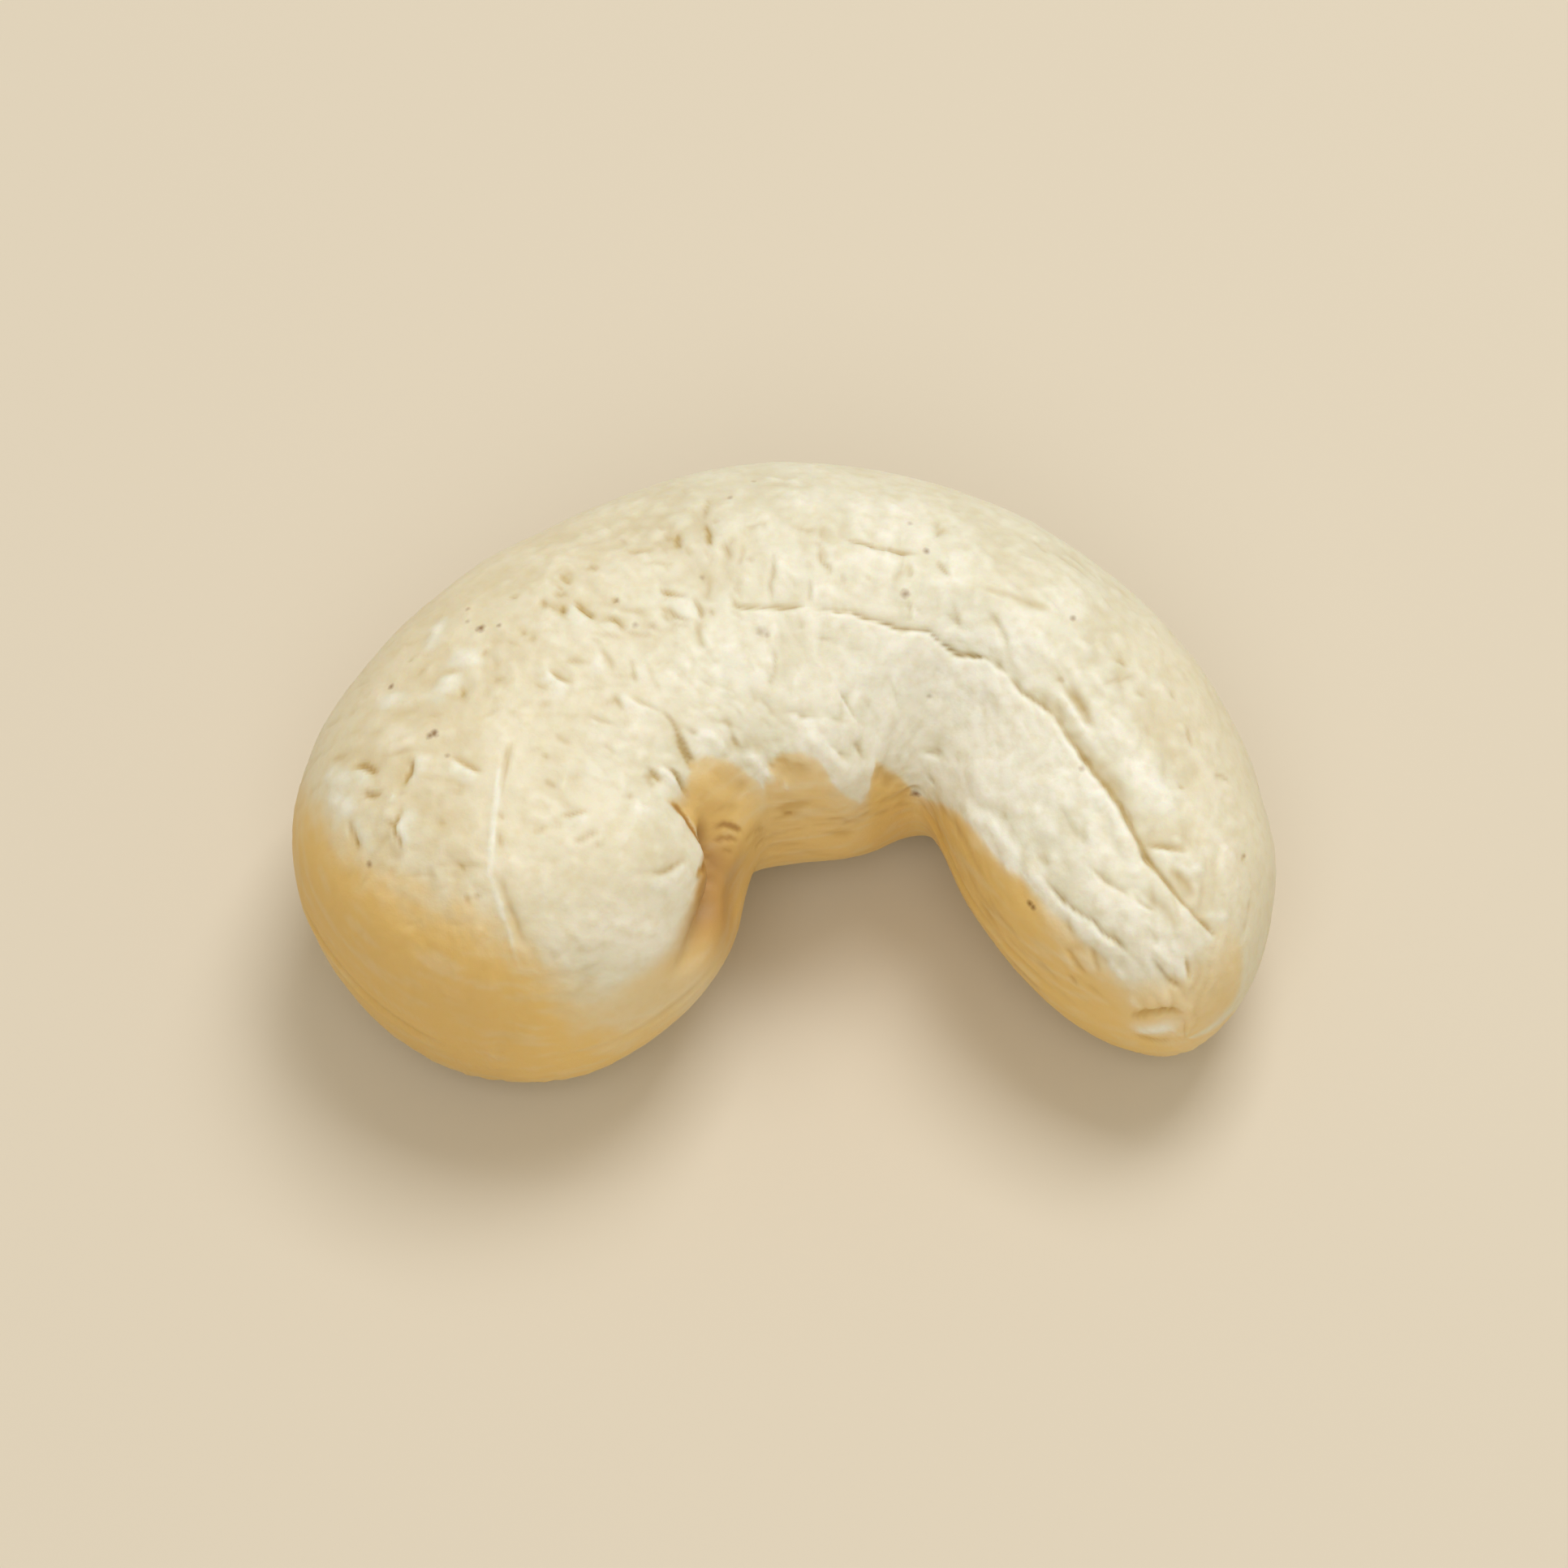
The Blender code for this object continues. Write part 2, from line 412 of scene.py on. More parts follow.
CREASES = [
    # The main furrow, from the arch to the slim limb's tip
    Crease(MAIN_FURROW[:8], 0.11, 0.07, -0.03),
    Crease(MAIN_FURROW[6:19], 0.13, 0.08, -0.04),
    Crease(MAIN_FURROW[16:28], 0.10, 0.09, -0.05),
    Crease(MAIN_FURROW[25:34], 0.10, 0.10, -0.065),
    Crease(MAIN_FURROW[31:], 0.095, 0.08, -0.04),
    # The shallower furrow above it, and the smudges that carry it on to the left
    Crease([(1.6, 6.3), (2.0, 6.12), (2.4, 6.02), (2.55, 5.85), (3.0, 5.8), (3.6, 5.75),
            (4.1, 5.7)], 0.10, 0.08, -0.03),
    Crease([(-1.2, 6.5), (-0.9, 6.45), (-0.6, 6.6), (-0.5, 6.45), (-0.5, 6.25)], 0.06, 0.09),
    Crease([(0.3, 6.5), (0.7, 6.4), (0.95, 6.5)], 0.05, 0.09),
    Crease([(-4.6, 5.9), (-4.45, 5.75), (-4.2, 5.75), (-3.8, 5.85), (-3.5, 6.0)], 0.05, 0.10),
    Crease([(4.35, 5.6), (4.6, 5.3), (4.75, 5.05)], 0.07, 0.09, 0.02),
    Crease([(5.3, 4.9), (6.1, 4.6), (6.9, 4.35), (7.6, 4.1), (7.9, 3.7)], 0.05, 0.11),
    # Between the two, creases run across the kernel
    Crease([(-3.0, 6.4), (-3.05, 6.05), (-2.9, 5.8)], 0.09, 0.08, 0.02),
    Crease([(-2.2, 7.4), (-2.3, 7.0), (-2.3, 6.6)], 0.04, 0.08),
    Crease([(-2.3, 6.7), (-2.2, 6.4), (-2.1, 6.1), (-2.0, 5.85)], 0.11, 0.08, 0.03),
    Crease([(-2.05, 6.65), (-1.9, 6.6)], 0.06, 0.08),
    Crease([(-2.45, 5.2), (-2.3, 4.98)], 0.10, 0.07),
    Crease([(-2.2, 5.2), (-2.1, 4.8), (-2.2, 4.45)], 0.05, 0.08),
    Crease([(-1.1, 5.6), (-0.85, 5.45)], 0.06, 0.09),
    Crease([(-1.25, 6.1), (-1.2, 5.7), (-1.35, 5.3)], 0.04, 0.08),
    Crease([(-0.35, 5.9), (-0.25, 5.2), (-0.42, 4.8), (-0.4, 4.4),
            (-0.35, 4.15)], 0.06, 0.08, 0.02),
    Crease([(0.75, 6.1), (1.1, 5.95), (1.1, 5.6), (1.3, 5.3), (1.2, 5.0)], 0.06, 0.08, 0.02),
    Crease([(1.15, 6.6), (1.1, 6.2)], 0.05, 0.08),
    Crease([(0.7, 5.0), (0.75, 4.6), (0.7, 4.2)], 0.05, 0.08, 0.02),
    Crease([(2.35, 5.1), (2.5, 4.98)], 0.07, 0.08),
    Crease([(3.6, 5.6), (3.65, 5.2), (3.55, 4.9)], 0.05, 0.08, 0.02),
    Crease([(3.45, 4.4), (3.6, 4.1), (3.6, 3.75)], 0.06, 0.08, 0.02),
    Crease([(3.7, 4.2), (3.95, 4.0)], 0.05, 0.08),
    Crease([(4.9, 4.4), (5.0, 3.9), (5.1, 3.5)], 0.05, 0.09, 0.02),
    Crease([(5.8, 4.2), (6.2, 3.6), (6.4, 3.1), (6.5, 2.6)], 0.07, 0.10, 0.02),
    # The curl at the left end of the main furrow
    Crease([(-3.6, 4.8), (-3.5, 4.65), (-3.3, 4.55), (-3.0, 4.5),
            (-2.65, 4.55)], 0.10, 0.08, -0.03),
    Crease([(-2.65, 4.55), (-2.5, 4.4), (-2.4, 4.2), (-2.35, 4.0), (-2.4, 3.8)], 0.13, 0.08, -0.03),
    Crease([(-3.5, 4.2), (-3.2, 4.0), (-3.1, 3.85), (-2.9, 3.8), (-2.6, 3.82)], 0.07, 0.09),
    Crease([(-2.45, 3.75), (-2.45, 3.4), (-2.35, 3.15), (-2.2, 3.0)], 0.08, 0.09),
    Crease([(-2.1, 4.1), (-2.05, 4.0)], 0.06, 0.07),
    # Small ones over the left of the arch
    Crease([(-6.5, 5.15), (-6.25, 4.95), (-6.05, 4.85)], 0.07, 0.09, -0.02),
    Crease([(-5.65, 5.35), (-5.3, 5.25)], 0.06, 0.10),
    Crease([(-6.7, 4.6), (-6.4, 4.55), (-6.2, 4.65)], 0.04, 0.09),
    Crease([(-7.0, 4.45), (-6.85, 4.2), (-6.75, 4.05)], 0.07, 0.08),
    Crease([(-6.42, 4.25), (-6.3, 4.0)], 0.09, 0.09),
    Crease([(-6.05, 4.35), (-5.75, 4.1), (-5.5, 3.88), (-5.3, 3.78)], 0.12, 0.08, -0.04),
    Crease([(-5.4, 3.8), (-5.0, 3.82), (-4.75, 3.7), (-4.5, 3.45)], 0.08, 0.08, -0.03),
    Crease([(-4.9, 4.42), (-4.75, 4.33)], 0.07, 0.08),
    Crease([(-3.95, 3.62), (-3.7, 3.6)], 0.05, 0.09),
    Crease([(-7.8, 4.45), (-7.65, 4.4)], 0.05, 0.08),
    Crease([(-7.55, 3.5), (-7.45, 3.45)], 0.06, 0.08),
    Crease([(-7.3, 3.2), (-7.0, 3.3)], 0.04, 0.09),
    Crease([(-8.5, 3.0), (-8.65, 2.85), (-8.55, 2.7)], 0.05, 0.08),
    Crease([(-5.7, 3.4), (-5.2, 3.35), (-5.0, 3.2)], 0.04, 0.09),
    Crease([(-6.75, 2.45), (-6.55, 2.2), (-6.35, 2.02), (-6.05, 1.92)], 0.085, 0.08, -0.05),
    Crease([(-6.3, 2.6), (-5.95, 2.68), (-5.65, 2.6)], 0.05, 0.08),
    Crease([(-5.4, 3.0), (-5.15, 2.8), (-5.0, 2.5), (-4.88, 2.25)], 0.06, 0.08, -0.03),
    Crease([(-4.5, 2.65), (-4.35, 2.35), (-4.22, 2.1), (-4.2, 1.95)], 0.07, 0.08, 0.03),
    Crease([(-4.5, 1.6), (-4.1, 1.42), (-3.75, 1.3), (-3.5, 1.05)], 0.065, 0.08, -0.03),
    Crease([(-4.95, 1.65), (-4.78, 1.42), (-4.6, 1.15)], 0.055, 0.08, 0.02),
    Crease([(-5.65, 1.0), (-5.3, 0.92), (-5.0, 0.85), (-4.8, 0.75)], 0.05, 0.08, -0.02),
    Crease([(-3.95, 2.6), (-3.75, 2.0), (-3.6, 1.5)], 0.04, 0.09),
    Crease([(-7.15, 1.95), (-6.75, 1.8)], 0.04, 0.08),
    Crease([(-6.6, 0.55), (-6.1, 0.3)], 0.04, 0.09),
    Crease([(-5.2, 0.2), (-4.8, 0.0)], 0.03, 0.08),
    # The arch's band over the hollow
    Crease([(0.0, 1.25), (0.3, 1.22), (0.6, 1.12), (1.0, 1.05), (1.5, 1.0),
            (1.95, 0.98)], 0.11, 0.07, -0.06),
    Crease([(-0.6, 1.1), (-0.2, 1.18), (0.2, 1.25)], 0.04, 0.08),
    Crease([(1.35, 2.0), (1.6, 1.65), (1.8, 1.35), (1.98, 1.05), (2.1, 0.9),
            (2.4, 0.72)], 0.07, 0.08, -0.06),
    Crease([(-0.35, 3.2), (-0.22, 2.8), (-0.25, 2.4), (-0.4, 2.0), (-0.3, 1.6)], 0.06, 0.08, -0.03),
    Crease([(-1.0, 1.9), (-0.8, 1.6), (-0.7, 1.4)], 0.03, 0.08),
    Crease([(0.9, 3.35), (1.3, 3.25), (1.7, 3.18)], 0.05, 0.08),
    Crease([(1.8, 3.0), (2.2, 2.92), (2.6, 3.05)], 0.04, 0.09),
    Crease([(0.45, 3.75), (0.6, 3.65)], 0.05, 0.08),
    Crease([(-2.7, 2.8), (-2.65, 2.4), (-2.75, 1.9)], 0.03, 0.09),
    Crease([(2.9, 2.2), (3.2, 1.8), (3.3, 1.4)], 0.04, 0.09, 0.02),
    Crease([(2.3, 1.6), (2.6, 1.2), (2.8, 0.9)], 0.05, 0.09, 0.02),
    Crease([(5.5, 1.6), (5.7, 1.3), (5.75, 0.95)], 0.04, 0.09),
    Crease([(6.1, 0.3), (6.3, 0.1)], 0.05, 0.09),
    Crease([(4.15, 1.68), (4.25, 1.58)], 0.05, 0.08),
    Crease([(3.85, 0.15), (4.2, -0.05), (4.6, -0.25)], 0.05, 0.09, -0.02),
    Crease([(4.05, -0.62), (4.2, -0.75), (4.35, -0.9)], 0.07, 0.08, -0.02),
    Crease([(6.5, -0.25), (6.9, -0.5)], 0.03, 0.09),
    Crease([(-2.2, 0.8), (-1.8, 0.87), (-1.4, 0.75)], 0.05, 0.08),
    Crease([(-1.3, 1.1), (-1.2, 1.0)], 0.06, 0.08),
    # Pleats where the arch turns down into the hollow
    Crease([(-3.6, 1.15), (-3.3, 0.95), (-3.05, 0.65), (-2.95, 0.45)], 0.08, 0.08),
    Crease([(-3.05, 0.65), (-2.95, 0.4), (-2.8, 0.1), (-2.65, -0.2),
            (-2.6, -0.6)], 0.16, 0.10, 0.03),
    Crease([(-2.7, 0.55), (-2.45, 0.58)], 0.08, 0.09),
    Crease([(-2.65, 0.4), (-2.2, 0.42), (-1.9, 0.25), (-1.6, 0.0)], -0.10, 0.14),
    Crease([(-1.5, 0.5), (-1.35, 0.25), (-1.3, 0.05)], 0.06, 0.09),
    Crease([(-2.3, -0.5), (-1.6, -0.8), (-0.9, -1.1)], 0.04, 0.32),
    Crease([(-1.15, 0.15), (-0.8, -0.3), (-0.5, -0.65), (-0.2, -1.0)], -0.10, 0.15),
    Crease([(-0.4, -0.3), (0.3, -0.5), (0.9, -0.8)], 0.04, 0.28),
    Crease([(-0.25, -0.1), (0.0, -0.25), (0.15, -0.4)], 0.06, 0.08),
    Crease([(0.0, -0.9), (0.2, -1.0)], -0.06, 0.10),
    Crease([(0.4, 0.8), (0.8, 0.35), (1.2, 0.0), (1.5, -0.35), (1.7, -0.7),
            (1.9, -1.1)], -0.13, 0.20),
    Crease([(1.0, 0.55), (1.3, 0.2), (1.6, -0.05), (2.0, -0.2)], 0.07, 0.09),
    Crease([(1.9, 0.35), (2.15, 0.0), (2.3, -0.3)], 0.10, 0.10),
    Crease([(2.6, -0.2), (2.9, -0.6), (3.2, -1.0)], 0.08, 0.20),
    # Pleats at the nose, and the crease under its tip
    Crease([(-3.9, -0.35), (-3.75, -0.55), (-3.55, -0.85)], 0.08, 0.08),
    Crease([(-3.6, -0.4), (-3.35, -0.65), (-3.1, -0.95)], -0.10, 0.10),
    Crease([(-3.4, -0.3), (-3.15, -0.6), (-2.95, -0.9), (-2.85, -1.1), (-2.7, -1.35)], 0.14, 0.08),
    Crease([(-3.95, -0.5), (-3.85, -0.8), (-3.65, -1.1)], 0.05, 0.10),
    Crease([(-3.9, -3.42), (-3.5, -3.45), (-3.2, -3.3), (-2.9, -3.15),
            (-2.7, -3.0)], 0.08, 0.09, -0.03),
    Crease([(-4.5, -1.3), (-4.3, -1.22)], 0.06, 0.10),
    Crease([(-4.3, -1.55), (-3.8, -1.75)], -0.05, 0.16),
    # The thick lobe's front: a fine raised line, and faint marks on either side
    Crease([(-8.15, -0.2), (-8.25, -0.9), (-8.36, -1.5), (-8.33, -2.1)], -0.045, 0.08),
    Crease([(-8.36, -1.7), (-8.40, -2.3), (-8.34, -3.0), (-8.45, -3.4), (-8.3, -3.8)], -0.06, 0.08),
    Crease([(-8.42, -3.4), (-8.2, -4.2), (-8.05, -4.7), (-7.85, -5.2), (-7.74, -5.7),
            (-7.45, -6.3)], -0.04, 0.08),
    Crease([(-7.55, 0.5), (-7.8, 0.1), (-8.0, -0.4), (-8.1, -0.9), (-8.1, -1.4)], 0.07, 0.07),
    Crease([(-8.12, -1.7), (-8.12, -2.0)], 0.07, 0.07),
    Crease([(-8.18, -2.2), (-8.18, -2.6), (-8.15, -2.95)], 0.07, 0.07),
    Crease([(-8.12, -3.05), (-8.1, -3.4), (-8.1, -3.8), (-7.95, -4.3), (-7.75, -4.7),
            (-7.6, -5.2), (-7.4, -5.7)], 0.06, 0.09),
    Crease([(-9.7, -0.1), (-9.25, -0.28), (-8.9, -0.48), (-8.6, -0.62)], 0.08, 0.08, -0.04),
    Crease([(-6.9, -0.8), (-6.55, -0.98)], 0.05, 0.08),
    Crease([(-6.45, -1.88), (-6.0, -1.78), (-5.5, -1.72)], 0.06, 0.08, -0.02),
    Crease([(-7.3, -2.35), (-7.0, -2.25), (-6.75, -2.1)], 0.05, 0.09),
    Crease([(-6.1, -2.7), (-5.8, -2.4), (-5.5, -2.25), (-5.25, -2.1)], 0.06, 0.09),
    Crease([(-5.4, -2.55), (-5.2, -2.65)], 0.04, 0.09),
    Crease([(-6.95, -0.05), (-6.85, -0.15)], 0.05, 0.07),
    Crease([(-9.85, -1.9), (-9.75, -2.1)], 0.05, 0.08),
    Crease([(-9.4, -3.2), (-9.2, -3.4)], 0.05, 0.08),
    Crease([(-9.15, -4.15), (-9.1, -4.25)], 0.07, 0.08),
    Crease([(-8.9, -4.15), (-8.7, -4.15)], 0.06, 0.08),
    # The thick lobe's side
    Crease([(-10.7, 0.0), (-10.7, -0.4), (-10.78, -0.7), (-10.82, -1.0)], 0.10, 0.08, 0.03),
    Crease([(-11.0, -1.5), (-11.05, -2.0), (-11.12, -2.15), (-11.05, -2.5),
            (-11.0, -2.85)], 0.09, 0.08, 0.04),
    Crease([(-11.45, -2.0), (-11.2, -2.15)], 0.06, 0.08),
    Crease([(-12.4, -0.35), (-12.0, -0.38), (-11.8, -0.55), (-11.6, -0.68)], 0.09, 0.09, -0.04),
    Crease([(-12.1, -1.05), (-11.85, -1.3), (-11.65, -1.25), (-11.55, -1.0)], 0.07, 0.08),
    Crease([(-12.5, -1.8), (-12.42, -2.2), (-12.3, -2.55), (-12.05, -2.95)], 0.08, 0.09, 0.03),
    Crease([(-10.75, 2.75), (-10.65, 2.65)], 0.06, 0.10),
    Crease([(-10.5, 2.4), (-10.3, 2.3)], 0.05, 0.10),
    Crease([(-9.35, 1.95), (-9.2, 1.6)], 0.05, 0.08),
    Crease([(-9.7, 4.0), (-9.95, 3.4), (-10.3, 2.8)], -0.045, 0.22),
    Crease([(-9.3, 2.9), (-9.0, 2.3)], -0.035, 0.40),
    Crease([(-9.3, 2.3), (-9.8, 1.9), (-10.2, 1.3)], -0.04, 0.24),
    Crease([(-11.1, 1.8), (-11.4, 1.2)], -0.04, 0.28),
    Crease([(-13.2, -0.5), (-12.8, -0.7), (-12.3, -0.75)], -0.045, 0.24),
    Crease([(-13.1, -1.0), (-12.8, -1.5), (-12.2, -1.6)], -0.045, 0.22),
    Crease([(-11.2, -1.2), (-11.15, -1.4)], -0.06, 0.10),
    # The slim limb's cheek: deep creases along it with bright lips, and a soft valley
    Crease([(7.4, -3.4), (7.7, -3.9), (8.0, -4.2), (8.3, -4.47), (8.6, -4.72),
            (9.0, -5.02)], 0.09, 0.08, -0.06),
    Crease([(8.6, -4.72), (9.0, -5.02), (9.4, -5.37), (9.8, -5.67),
            (10.05, -5.9)], 0.10, 0.08, -0.05),
    Crease([(6.9, -3.25), (7.15, -3.55), (7.5, -4.0)], -0.09, 0.12),
    Crease([(8.75, -5.5), (8.85, -5.9), (9.05, -6.3)], 0.07, 0.10, -0.04),
    Crease([(8.0, -5.5), (8.35, -5.95), (8.7, -6.4)], 0.06, 0.10, -0.04),
    Crease([(8.15, -6.35), (8.5, -6.75)], 0.05, 0.09),
    Crease([(9.3, -5.9), (9.6, -6.25), (9.8, -6.6)], -0.07, 0.11),
    Crease([(8.65, -3.05), (8.9, -3.4), (9.2, -3.7), (9.6, -3.93),
            (10.0, -4.15)], 0.08, 0.09, -0.04),
    Crease([(10.0, -4.05), (10.35, -4.35), (10.75, -4.65)], 0.06, 0.08, -0.03),
    Crease([(10.4, -3.7), (10.9, -4.5), (11.3, -5.2), (11.5, -5.6)], 0.06, 0.20),
    Crease([(10.5, -5.5), (10.8, -5.85), (11.3, -6.25)], -0.12, 0.13),
    Crease([(10.55, -5.8), (10.8, -6.2), (11.0, -6.5), (11.3, -6.7), (11.6, -6.75)], 0.10, 0.09),
    Crease([(11.5, -5.85), (11.62, -6.2), (11.6, -6.5)], 0.09, 0.08, -0.05),
    Crease([(8.65, -1.7), (8.8, -2.2)], 0.02, 0.30),
    Crease([(6.25, -1.75), (6.35, -2.0)], 0.04, 0.12),
    Crease([(5.9, -1.9), (6.1, -2.25), (6.35, -2.5)], -0.08, 0.12),
    Crease([(7.75, -0.1), (7.9, -0.5)], 0.04, 0.08),
    Crease([(8.3, -0.85), (8.5, -1.05)], 0.05, 0.08),
    Crease([(7.85, 0.3), (7.95, 0.2)], 0.06, 0.08),
    Crease([(8.5, -2.7), (9.5, -3.0)], -0.05, 0.25),
    Crease([(7.2, -2.9), (7.6, -3.3)], 0.04, 0.14),
    # Outside the main furrow on the right: the second valley with its narrow ridge
    Crease([(7.1, 1.9), (7.6, 1.5), (8.1, 0.95), (8.6, 0.2), (9.0, -0.35), (9.4, -0.85),
            (9.9, -1.6)], 0.05, 0.18),
    Crease([(7.7, 1.95), (8.05, 1.5), (8.35, 1.1), (8.65, 0.7), (9.0, 0.2)], -0.08, 0.12),
    Crease([(8.1, 2.0), (8.3, 1.6), (8.5, 1.3), (8.75, 0.9), (8.9, 0.65)], 0.10, 0.16),
    Crease([(7.75, 2.15), (8.0, 2.12)], 0.06, 0.09),
    Crease([(8.9, 1.92), (9.3, 1.98), (9.8, 2.1), (10.3, 2.28)], 0.04, 0.08),
    Crease([(9.5, 2.72), (9.9, 2.55)], 0.04, 0.09),
    Crease([(10.1, 1.75), (10.45, 1.6)], 0.05, 0.09),
    Crease([(11.05, 1.7), (11.2, 1.58)], 0.04, 0.08),
    Crease([(9.6, -0.1), (10.2, -0.4), (10.7, -0.95), (11.0, -1.4), (11.3, -1.8)], -0.10, 0.22),
    Crease([(11.45, 0.9), (11.65, 0.45), (11.72, 0.1)], 0.06, 0.08),
    Crease([(12.25, -0.75), (12.45, -0.65), (12.7, -0.72), (12.85, -0.98)], 0.06, 0.08),
    Crease([(11.3, -1.0), (11.5, -0.98)], 0.05, 0.08),
    Crease([(13.2, -2.9), (13.2, -3.1)], 0.07, 0.08),
    Crease([(10.3, -2.7), (11.0, -2.68), (11.6, -2.85)], 0.08, 0.10, -0.05),
    Crease([(11.0, -3.35), (11.35, -3.5), (11.65, -3.85), (11.8, -4.2)], 0.07, 0.16),
    Crease([(11.2, -3.15), (11.7, -3.4), (12.1, -3.35)], -0.06, 0.14),
    Crease([(12.0, -4.62), (12.8, -4.72)], -0.05, 0.10),
    Crease([(12.45, -3.95), (12.7, -4.18)], 0.04, 0.08),
    # The tip of the slim limb, where the small root tip is folded in
    Crease([(9.9, -7.65), (10.2, -7.52), (10.5, -7.5), (10.9, -7.4), (11.25, -7.4),
            (11.6, -7.5)], 0.16, 0.10),
    Crease([(9.95, -8.0), (10.4, -7.88), (11.0, -7.8), (11.4, -7.9)], -0.12, 0.26),
    Crease([(10.0, -8.1), (10.6, -8.25), (11.3, -8.2)], 0.06, 0.10),
    Crease([(9.95, -7.0), (10.25, -7.3)], -0.04, 0.10),
]
lines = np.zeros(len(base))


def drawn(mark):
    """Add a crease to the lines, and return the points near it and its height at them."""
    path = base[[seen_at(point) for point in mark.line]]
    near, height = crease(path, mark.depth, mark.width, mark.bank)
    lines[near] += height
    return near, height


for mark in CREASES:
    drawn(mark)

# Brown lines where some skin was left, most of them in the hollow by the nose. One that is as
# deep as the full stain or deeper is as brown as they get.
FULL_STAIN_DEPTH = 0.08
BROWN_LINES = [
    Crease([(-2.3, -2.4), (-2.05, -2.2), (-1.7, -2.1), (-1.4, -2.12), (-1.15, -2.35)], 0.05, 0.12),
    Crease([(-2.15, -2.7), (-1.9, -2.55), (-1.6, -2.48), (-1.35, -2.58)], 0.045, 0.11),
    Crease([(-1.95, -2.95), (-1.65, -2.85), (-1.45, -2.92)], 0.04, 0.10),
    Crease([(-3.5, -1.25), (-3.1, -1.55), (-2.75, -1.95), (-2.45, -2.5), (-2.36, -3.0),
            (-2.45, -3.5), (-2.6, -4.0)], 0.06, 0.12),
    Crease([(-0.1, -1.7), (0.35, -1.8)], 0.04, 0.07),
    Crease([(-12.4, -0.32), (-12.0, -0.36), (-11.8, -0.5), (-11.55, -0.7)], 0.015, 0.10),
    Crease([(-12.15, -1.1), (-11.9, -1.25), (-11.6, -1.2)], 0.012, 0.12),
    Crease([(-10.7, -0.1), (-10.72, -0.5), (-10.8, -0.95)], 0.012, 0.10),
]
for mark in BROWN_LINES:
    near, height = drawn(mark)
    brown = min(mark.depth / FULL_STAIN_DEPTH, 1) * between(-height / mark.depth, 0.15, 0.9)
    stain_and_shade[near] = np.maximum(stain_and_shade[near], brown)


# Small wrinkles are scattered over each part of the skin, those of one family one way
class Wrinkles(NamedTuple):
    """How many, the stations and angles they start at, which way they run in degrees from
    the kernel's length, and their lengths, depths and widths."""

    count: int
    stations: tuple
    angles: tuple
    heading: float
    lengths: tuple
    depths: tuple
    widths: tuple


WRINKLES = [
    Wrinkles(40, (4.2, 8.4), (100, 140), 66, (0.3, 0.9), (0.01, 0.04), (0.06, 0.09)),
    Wrinkles(50, (4.0, 7.4), (62, 96), 88, (0.3, 0.8), (0.01, 0.04), (0.06, 0.08)),
    Wrinkles(50, (7.4, 11.0), (84, 140), 4, (0.5, 1.6), (0.01, 0.04), (0.06, 0.10)),
    Wrinkles(20, (7.6, 11.0), (30, 80), 12, (0.6, 1.8), (0.01, 0.03), (0.07, 0.11)),
    Wrinkles(40, (1.0, 3.6), (20, 80), 86, (0.5, 1.4), (0.01, 0.03), (0.06, 0.09)),
    Wrinkles(50, (2.4, 5.2), (76, 125), 40, (0.3, 1.0), (0.01, 0.04), (0.06, 0.08)),
    Wrinkles(40, (2.5, 10.5), (158, 200), 4, (1.0, 2.8), (0.01, 0.03), (0.10, 0.15)),
    Wrinkles(110, (2.8, 8.4), (132, 178), 0, (0.4, 1.4), (0.01, 0.03), (0.08, 0.11)),
    Wrinkles(40, (8.2, 11.0), (140, 176), 4, (0.4, 1.6), (0.01, 0.02), (0.08, 0.11)),
    Wrinkles(50, (0.6, 3.0), (0, 60), 80, (0.4, 1.4), (0.01, 0.025), (0.07, 0.10)),
    Wrinkles(70, (1.5, 10.5), (-140, -60), 30, (0.8, 2.6), (0.02, 0.07), (0.12, 0.20)),
    Wrinkles(30, (1.5, 10.5), (-60, -10), 8, (0.8, 2.2), (0.01, 0.03), (0.12, 0.18)),
]
HEADING_SPREAD = 14
BEND_SPREAD = 0.35
LEGS = 4
STEP = 0.02
shuffle = random.Random(7)
for family in WRINKLES:
    for _ in range(family.count):
        place_along = shuffle.uniform(*family.stations)
        place = np.array([place_along, math.radians(shuffle.uniform(*family.angles))])
        length = shuffle.uniform(*family.lengths)
        heading = math.radians(family.heading + shuffle.gauss(0, HEADING_SPREAD))
        bend = shuffle.gauss(0, BEND_SPREAD)
        nearby = np.array([place, place + [STEP, 0], place + [0, STEP]])
        here, ahead, beside = settled(plain_skin(nearby[:, 0], nearby[:, 1]))
        per_mm = STEP / np.array([np.linalg.norm(ahead - here), np.linalg.norm(beside - here)])
        route = [place]
        for leg in range(LEGS):
            toward = heading + bend * (leg - (LEGS - 1) / 2) / 2
            place = place + np.array([math.cos(toward), math.sin(toward)]) * per_mm * length / LEGS
            route.append(place)
        route = np.array(route)
        path = settled(plain_skin(route[:, 0], route[:, 1]))
        depth, width = shuffle.uniform(*family.depths), shuffle.uniform(*family.widths)
        near, height = crease(path, depth, width)
        lines[near] += height


def pillows(points, size, seed):
    """Rounded pillows with sharp creases between them, of the given size in mm."""
    return 2 * abs(waves(points, size, seed)) - 0.4


